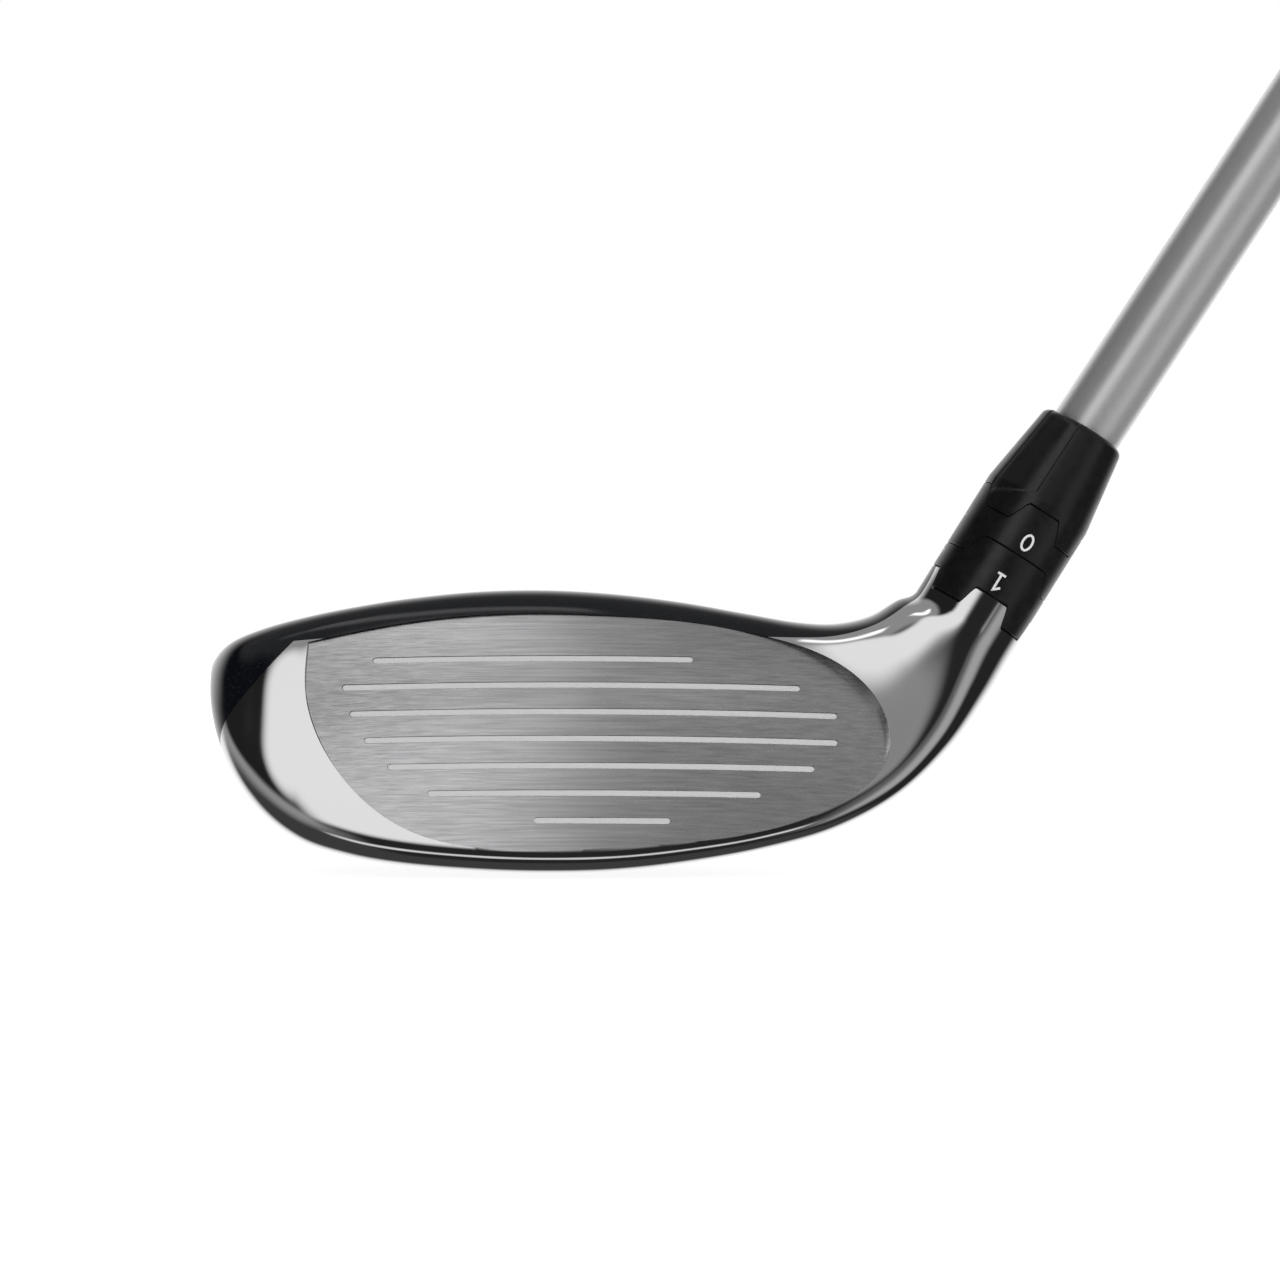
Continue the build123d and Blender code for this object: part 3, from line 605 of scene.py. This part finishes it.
NODE_MATERIALS = {
    "head_body": CHROME, "face_plate": BRUSHED, "crown": BLACK, "brace_bar_toe": STEEL,
    "brace_bar_heel": STEEL, "inner_weight": TUNGSTEN, "loft_ring": ANODISED, "lie_ring": ANODISED,
    "adapter_sleeve": ANODISED, "thread_insert": STEEL, "sleeve_o_ring": SEAL_RUBBER,
    "rim_collar": COLLAR_PLASTIC, "hosel_screw": BLACK_STEEL, "hosel_screw_washer": STEEL,
    "weight_screw": BLACK_STEEL, "weight_seal": SEAL_RUBBER, "shaft": SILVER, "tip_weight": BRASS,
    "grip_tape": TAPE, "grip": GRIP_RUBBER, "grip_end_cap": CAP_PLASTIC,
}


def paint(piece, material):
    """Gives a piece one material all over."""
    piece.data.materials.clear()
    piece.data.materials.append(material)


for node, material in NODE_MATERIALS.items():
    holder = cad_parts[node]
    if not holder.material_slots:
        holder.data.materials.append(material)
    for slot in holder.material_slots:
        slot.material = material


# ---------------------------------------------------------------- rings and sleeve


def hosel_ring(rows):
    """Rows of points about the hosel from rows of (radius, height) functions of the angle."""
    angles = [hosel_angle_of(k) for k in range(AROUND)]
    return [[round_hosel(a, height(a), radius(a)) for a in angles] for radius, height in rows]


def fixed(value):
    """A function of the angle that is the same all round."""
    return lambda angle: value


def finish_black(piece, node, body):
    """The black finish, body and slot of a ring or the sleeve, which stands for a CAD node."""
    piece.data.set_sharp_from_angle(angle=radians(24))
    paint(piece, ANODISED)
    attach(piece, body)
    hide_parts(node)


def ring_skin(node, body, lower, upper):
    """A toothed ring with a small chamfer along both of its edges."""
    def low(angle):
        return seam_height(angle, *lower) + SEAM_GAP

    def high(angle):
        return seam_height(angle, *upper)

    rows = [
        (fixed(BORE_RADIUS), low), (fixed(HOSEL_RADIUS - SEAM_CHAMFER), low),
        (fixed(HOSEL_RADIUS), lambda a: low(a) + SEAM_CHAMFER),
        (fixed(HOSEL_RADIUS), lambda a: high(a) - SEAM_CHAMFER),
        (fixed(HOSEL_RADIUS - SEAM_CHAMFER), high), (fixed(BORE_RADIUS), high),
    ]
    finish_black(outward(make_object(f"{node}_skin", *skin(hosel_ring(rows), loop=True))), node, body)


KINK, RIM, RIM_RADIUS, RIM_ROUND = 16.65, 28.05, 5.75, 0.8
PANEL_DEPTH, PANEL_RIDGE, PANEL_WIDTH = 0.15, -12.0, 55.0


def sleeve_radius(angle, height):
    """The cone of the sleeve, with a shallow panel on two sides that starts at a crisp ridge."""
    plain = mix(HOSEL_RADIUS, RIM_RADIUS, max(0.0, (height - KINK) / (RIM - KINK)))
    into = (PANEL_RIDGE - degrees(angle)) % 180
    across = min(into, PANEL_WIDTH - into) / 1.2 if into < PANEL_WIDTH else 0.0
    over = (height - (KINK + 0.4 - 0.05 * into)) / 0.25
    return plain - PANEL_DEPTH * min(1.0, max(0.0, across)) * min(1.0, max(0.0, over))


def sleeve_skin():
    """The adapter sleeve: the tube in the hosel with its O-ring groove, the toothed foot and the cone."""
    tube, groove, tube_end, insert_radius, insert_top = 5.7, 4.3, -17.0, 3.5, -8.0
    groove_bottom, groove_top, tube_top, mouth_radius, mouth_depth = -12.8, -11.2, 12.0, 4.72, 2.5
    foot_steps, cone_steps, round_steps = 8, 60, 6

    def low(angle):
        return seam_height(angle, *UPPER_SEAM) + SEAM_GAP

    def foot_row(share):
        def height(angle):
            return mix(low(angle) + SEAM_CHAMFER, KINK - 0.6, share)

        return lambda angle: sleeve_radius(angle, height(angle)), height

    def cone_row(height, inset):
        return lambda angle: sleeve_radius(angle, height) - inset, fixed(height)

    rows = [(fixed(radius), fixed(height)) for radius, height in (
        (insert_radius, insert_top), (insert_radius, tube_end), (tube, tube_end), (tube, groove_bottom),
        (groove, groove_bottom), (groove, groove_top), (tube, groove_top), (tube, tube_top),
    )]
    rows += [(fixed(tube), low), (fixed(HOSEL_RADIUS - SEAM_CHAMFER), low)]
    rows += [foot_row(step / foot_steps) for step in range(foot_steps + 1)]
    for step in range(cone_steps + 1):
        rows.append(cone_row(mix(KINK - 0.45, RIM - RIM_ROUND, step / cone_steps), 0.0))
    for step in range(1, round_steps + 1):
        turn = pi / 2 * step / round_steps
        rows.append(cone_row(RIM - RIM_ROUND * (1 - sin(turn)), RIM_ROUND * (1 - cos(turn))))
    rows += [(fixed(mouth_radius), fixed(RIM)), (fixed(mouth_radius), fixed(RIM - mouth_depth))]
    piece = outward(make_object("adapter_sleeve_skin", *skin(hosel_ring(rows))))
    finish_black(piece, "adapter_sleeve", "club")


ring_skin("loft_ring", "lower_ring", HOSEL_SEAM, MIDDLE_SEAM)
ring_skin("lie_ring", "upper_ring", MIDDLE_SEAM, UPPER_SEAM)
sleeve_skin()

paint(head_skin, CHROME)
paint(crown_skin, BLACK)
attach(head_skin, "head")
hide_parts("head_body")
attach(crown_skin, "head")
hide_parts("crown")


# ---------------------------------------------------------------- paint in the score lines


def score_paint(number, toe_end, heel_end):
    """White paint that fills a groove to just below the face's surface."""
    rise = MIDDLE_LINE_RISE + (3 - number) * LINE_PITCH
    side_gap, sunk, floor = 0.03, 0.03, 0.38
    spine_steps, end_steps = 60, 12
    half = LINE_WIDTH / 2 - side_gap
    ends = [toe_end - FACE_CENTRE.x + half, heel_end - FACE_CENTRE.x - half]
    spine = [mix(ends[0], ends[1], step / spine_steps) for step in range(spine_steps + 1)]
    end_turns = [pi * step / end_steps for step in range(1, end_steps)]
    outline = [(x, half) for x in spine]
    outline += [(ends[1] + half * sin(a), half * cos(a)) for a in end_turns]
    outline += [(x, -half) for x in reversed(spine)]
    outline += [(ends[0] - half * sin(a), -half * cos(a)) for a in end_turns]
    up_face = Vector((0, sin(radians(LOFT)), cos(radians(LOFT))))

    def on_face(x, v, depth):
        spot = FACE_CENTRE + Vector((1, 0, 0)) * x + up_face * (rise + v)
        return roll_centre + (spot - roll_centre).normalized() * (FACE_RADIUS - depth)

    count = len(outline)
    levels = [(1.0, floor), (1.0, sunk + 0.05), (0.86, sunk), (0.45, sunk)]
    points = [on_face(x, v * share, depth) for share, depth in levels for x, v in outline]
    faces = []
    for level in range(len(levels) - 1):
        for k in range(count):
            a, b = level * count + k, level * count + (k + 1) % count
            faces.append((a, b, b + count, a + count))
    first_top = (len(levels) - 1) * count
    heel_end_last = spine_steps + end_steps
    toe_end_first = heel_end_last + spine_steps
    mirror = [toe_end_first - k for k in range(spine_steps + 1)]
    for k in range(spine_steps):
        faces.append((first_top + k, first_top + k + 1, first_top + mirror[k + 1], first_top + mirror[k]))
        faces.append((mirror[k], mirror[k + 1], k + 1, k))
    for offset in (0, first_top):
        faces.append([offset + k for k in range(spine_steps, heel_end_last + 1)])
        faces.append([offset + k for k in (*range(toe_end_first, count), 0)])
    piece = outward(make_object(f"score_paint_{number + 1}", points, faces))
    piece.data.set_sharp_from_angle(angle=radians(40))
    paint(piece, WHITE)
    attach(piece, "head")


for number, (toe_end, heel_end) in enumerate(SCORE_LINES):
    score_paint(number, toe_end, heel_end)


# ---------------------------------------------------------------- setting marks on the rings


# Each figure as strokes through points, half a unit to each side and one unit tall.
FIGURES = {
    "1": [[(-0.28, 0.72), (0.05, 1.0), (0.05, 0.0)], [(-0.22, 0.0), (0.3, 0.0)]],
    "2": [[
        (-0.3, 0.75), (-0.22, 0.93), (0.0, 1.0), (0.24, 0.93),
        (0.3, 0.72), (0.2, 0.5), (-0.3, 0.0), (0.34, 0.0),
    ]],
    "3": [[
        (-0.3, 1.0), (0.28, 1.0), (0.0, 0.6), (0.24, 0.5),
        (0.31, 0.28), (0.2, 0.05), (-0.05, 0.0), (-0.3, 0.1),
    ]],
    "4": [[(0.34, 0.28), (-0.34, 0.28), (0.12, 1.0), (0.12, 0.0)]],
    "0": [[(0.3 * sin(a), 0.5 + 0.5 * cos(a)) for a in (pi * k / 12 for k in range(25))]],
    "+": [[(-0.3, 0.5), (0.3, 0.5)], [(0.0, 0.2), (0.0, 0.8)]],
    "-": [[(-0.3, 0.5), (0.3, 0.5)]],
}


def mark(name, figure, angle, bottom, height, body):
    """A painted figure on a ring, upside down as on the real club: raised strokes with mitred turns."""
    half, low, high, pieces_a_stroke = 0.15, HOSEL_RADIUS - 0.02, HOSEL_RADIUS + 0.018, 4
    points, faces = [], []
    for stroke in FIGURES[figure]:
        path = [Vector((x * height, y * height)) for x, y in stroke]
        ends = zip(path, path[1:])
        path = [a.lerp(b, k / pieces_a_stroke) for a, b in ends for k in range(pieces_a_stroke)] + [path[-1]]
        first = len(points)
        for k, spot in enumerate(path):
            before = (spot - path[k - 1]).normalized() if k else (path[1] - spot).normalized()
            after = (path[k + 1] - spot).normalized() if k < len(path) - 1 else before
            ahead = (before + after).normalized()
            side = Vector((-ahead.y, ahead.x)) * half / max(0.5, ahead.dot(after))
            for offset, radius in ((-side, low), (-side, high), (side, high), (side, low)):
                flat = spot + offset
                turned = radians(angle) - flat.x / HOSEL_RADIUS
                points.append(round_hosel(turned, bottom + height - flat.y, radius))
        for k in range(len(path) - 1):
            for j in range(4):
                a, b = first + 4 * k + j, first + 4 * k + (j + 1) % 4
                faces.append((a, b, b + 4, a + 4))
        last = first + 4 * (len(path) - 1)
        faces += [tuple(first + j for j in (3, 2, 1, 0)), tuple(last + j for j in range(4))]
    piece = outward(make_object(name, points, faces, smooth=False))
    paint(piece, WHITE)
    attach(piece, body)


for turn in range(4):
    mark(f"loft_mark_{turn + 1}", str(turn + 1), 3 + 90 * turn, 3.55, 2.26, "lower_ring")
for turn in range(4):
    sign_height = 2.1 if turn % 2 == 0 else 1.2
    mark(f"lie_mark_{turn + 1}", "0+0-"[turn], 7 + 90 * turn, 9.95, sign_height, "upper_ring")


# ---------------------------------------------------------------- grip


def grip_skin():
    """A moulded rubber grip: crossed grooves between plain bands, a round butt and the cap's recess."""
    top = CLUB_LENGTH - bend_point.z / sin(SHAFT_LIE)
    mouth = top - GRIP_LENGTH
    stops = [
        (0, 8.0), (1.5, 8.8), (90, 10.9), (190, 12.6), (243, 13.4), (258, 14.3), (263.5, 15.4), (265.2, 15.2),
        (GRIP_LENGTH, 13.9),
    ]
    count, steps = 120, 560
    inset, rib_depth, rib_turns, rib_pitch = 0.12, 0.6, 15, 0.62
    ribs_start, ribs_end, band_middle, band_half = 12, 246, 128, 6
    angles = [2 * pi * k / count for k in range(count)]

    def ring(height, radius):
        return [round_shaft(angle, height, radius) for angle in angles]

    def radius_at(v):
        for (v0, r0), (v1, r1) in zip(stops, stops[1:]):
            if v <= v1:
                return mix(r0, r1, (v - v0) / (v1 - v0))
        return stops[-1][1]

    def soft_radius(v):
        if not 3 < v < 262:
            return radius_at(v)
        return sum(radius_at(min(GRIP_LENGTH, max(0, v + d))) for d in (-2, -1, 0, 1, 2)) / 5

    rows = [ring(mouth, 7.3)]
    for step in range(steps + 1):
        v = GRIP_LENGTH * step / steps
        ribbed = smooth_step((v - ribs_start) / 2) * smooth_step((ribs_end - v) / 2)
        depth = rib_depth * ribbed * smooth_step((abs(v - band_middle) - band_half) / 2)
        row = []
        for a in angles:
            weave = abs(sin(a * rib_turns + v * rib_pitch)) * abs(sin(a * rib_turns - v * rib_pitch))
            row.append(round_shaft(a, mouth + v, soft_radius(v) - inset - depth * (1 - weave) ** 3))
        rows.append(row)
    rows += [ring(top, 11.1), ring(top - 3.0, 11.05), ring(top - 3.1, 7.7)]
    piece = outward(make_object("grip_skin", *skin(rows)))
    piece.data.set_sharp_from_angle(angle=radians(50))
    paint(piece, GRIP_RUBBER)
    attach(piece, "club")
    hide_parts("grip")


grip_skin()


# ---------------------------------------------------------------- studio


# The light that comes from each part of the surroundings, in degrees. Turn 0 is in front, and grows
# toward the heel; climb 0 is level. Each row: turn from, to, climb from, to, soft edge, brightness.
LIGHT_PATCHES = (
    (-400, 400, -200, -10, 12, 0.05),
    (-150, -26, 10, 50, 6, 0.015),
    (-28, 34, -46, 8, 5, 0.02),
    (34, 150, -46, 8, 5, 0.02),
    (40, 66, -30, 12, 9, 0.40),
    (-34, 34, -23, -15, 3, 0.75),
    (-28, -2, 8, 62, 5, 0.90),
    (3, 60, 10, 60, 6, 0.27),
    (-70, 6, 67, 74, 3, 1.4),
)
ROOM_BRIGHTNESS = 0.3
CAMERA_PLACE, CAMERA_LENS = (0.01245, -0.4175, 0.02975), 90.1


def studio():
    """The pale floor, a little under the sole and left out of reflections."""
    floor_mesh = bpy.data.meshes.new("floor")
    reach = 6.0
    floor_mesh.from_pydata(
        [(-reach, -reach, 0), (reach, -reach, 0), (reach, reach, 0), (-reach, reach, 0)], [], [(0, 1, 2, 3)]
    )
    floor = bpy.data.objects.new("floor", floor_mesh)
    floor.location.z = -0.0005
    bpy.context.collection.objects.link(floor)
    material = bpy.data.materials.new("pale_floor")
    material.use_nodes = True
    shader = material.node_tree.nodes["Principled BSDF"]
    shader.inputs["Base Color"].default_value = (0.9, 0.9, 0.9, 1)
    shader.inputs["Roughness"].default_value = 0.9
    shader.inputs["Emission Color"].default_value = (1, 1, 1, 1)
    shader.inputs["Emission Strength"].default_value = 0.85
    floor_mesh.materials.append(material)
    floor.visible_glossy = False


def light():
    """A grey room darkened by flags and lit by a few soft strips, and white straight behind the club."""
    world = bpy.data.worlds.new("studio")
    bpy.context.scene.world = world
    world.use_nodes = True
    tree = world.node_tree
    tree.nodes.clear()

    def calculate(operation, first, second=None):
        node = tree.nodes.new("ShaderNodeMath")
        node.operation = operation
        for socket, value in zip(node.inputs, (first, second)):
            if isinstance(value, (int, float)):
                socket.default_value = value
            elif value is not None:
                tree.links.new(value, socket)
        return node.outputs[0]

    def step(value, start, end):
        node = tree.nodes.new("ShaderNodeMapRange")
        node.interpolation_type = "SMOOTHSTEP"
        node.inputs["From Min"].default_value = start
        node.inputs["From Max"].default_value = end
        tree.links.new(value, node.inputs["Value"])
        return node.outputs[0]

    split = tree.nodes.new("ShaderNodeSeparateXYZ")
    tree.links.new(tree.nodes.new("ShaderNodeTexCoord").outputs["Generated"], split.inputs[0])
    across, along, upward = split.outputs
    turn = calculate("DEGREES", calculate("ARCTAN2", across, calculate("MULTIPLY", along, -1.0)))
    climb = calculate("DEGREES", calculate("ARCSINE", upward))

    strength = ROOM_BRIGHTNESS
    for first, last, low, high, soft, brightness in LIGHT_PATCHES:
        inside = []
        if last - first < 360:
            inside = [step(turn, first - soft, first + soft), step(turn, last + soft, last - soft)]
        inside += [step(climb, low - soft, low + soft), step(climb, high + soft, high - soft)]
        mask = inside[0]
        for other in inside[1:]:
            mask = calculate("MULTIPLY", mask, other)
        node = tree.nodes.new("ShaderNodeMix")
        node.inputs["B"].default_value = brightness
        if isinstance(strength, float):
            node.inputs["A"].default_value = strength
        else:
            tree.links.new(strength, node.inputs["A"])
        tree.links.new(mask, node.inputs["Factor"])
        strength = node.outputs["Result"]

    behind = tree.nodes.new("ShaderNodeMix")
    behind.inputs["B"].default_value = 1.0
    tree.links.new(step(along, 0.35, 0.9), behind.inputs["Factor"])
    tree.links.new(strength, behind.inputs["A"])
    strength = behind.outputs["Result"]

    out = tree.nodes.new("ShaderNodeOutputWorld")
    backdrop, room = tree.nodes.new("ShaderNodeBackground"), tree.nodes.new("ShaderNodeBackground")
    choose = tree.nodes.new("ShaderNodeMixShader")
    path = tree.nodes.new("ShaderNodeLightPath")
    for background in (backdrop, room):
        background.inputs["Color"].default_value = (1, 1, 1, 1)
    tree.links.new(strength, room.inputs["Strength"])
    tree.links.new(path.outputs["Is Camera Ray"], choose.inputs[0])
    tree.links.new(room.outputs[0], choose.inputs[1])
    tree.links.new(backdrop.outputs[0], choose.inputs[2])
    tree.links.new(choose.outputs[0], out.inputs[0])


studio()
light()

camera_data = bpy.data.cameras.new("camera")
camera_data.sensor_width = 36
camera_data.lens = CAMERA_LENS
camera_data.clip_start, camera_data.clip_end = 0.01, 50
camera = bpy.data.objects.new("camera", camera_data)
bpy.context.collection.objects.link(camera)
camera.location = CAMERA_PLACE
camera.rotation_euler = (radians(90), 0, 0)
bpy.context.scene.camera = camera
bpy.context.scene.view_settings.view_transform = "Standard"
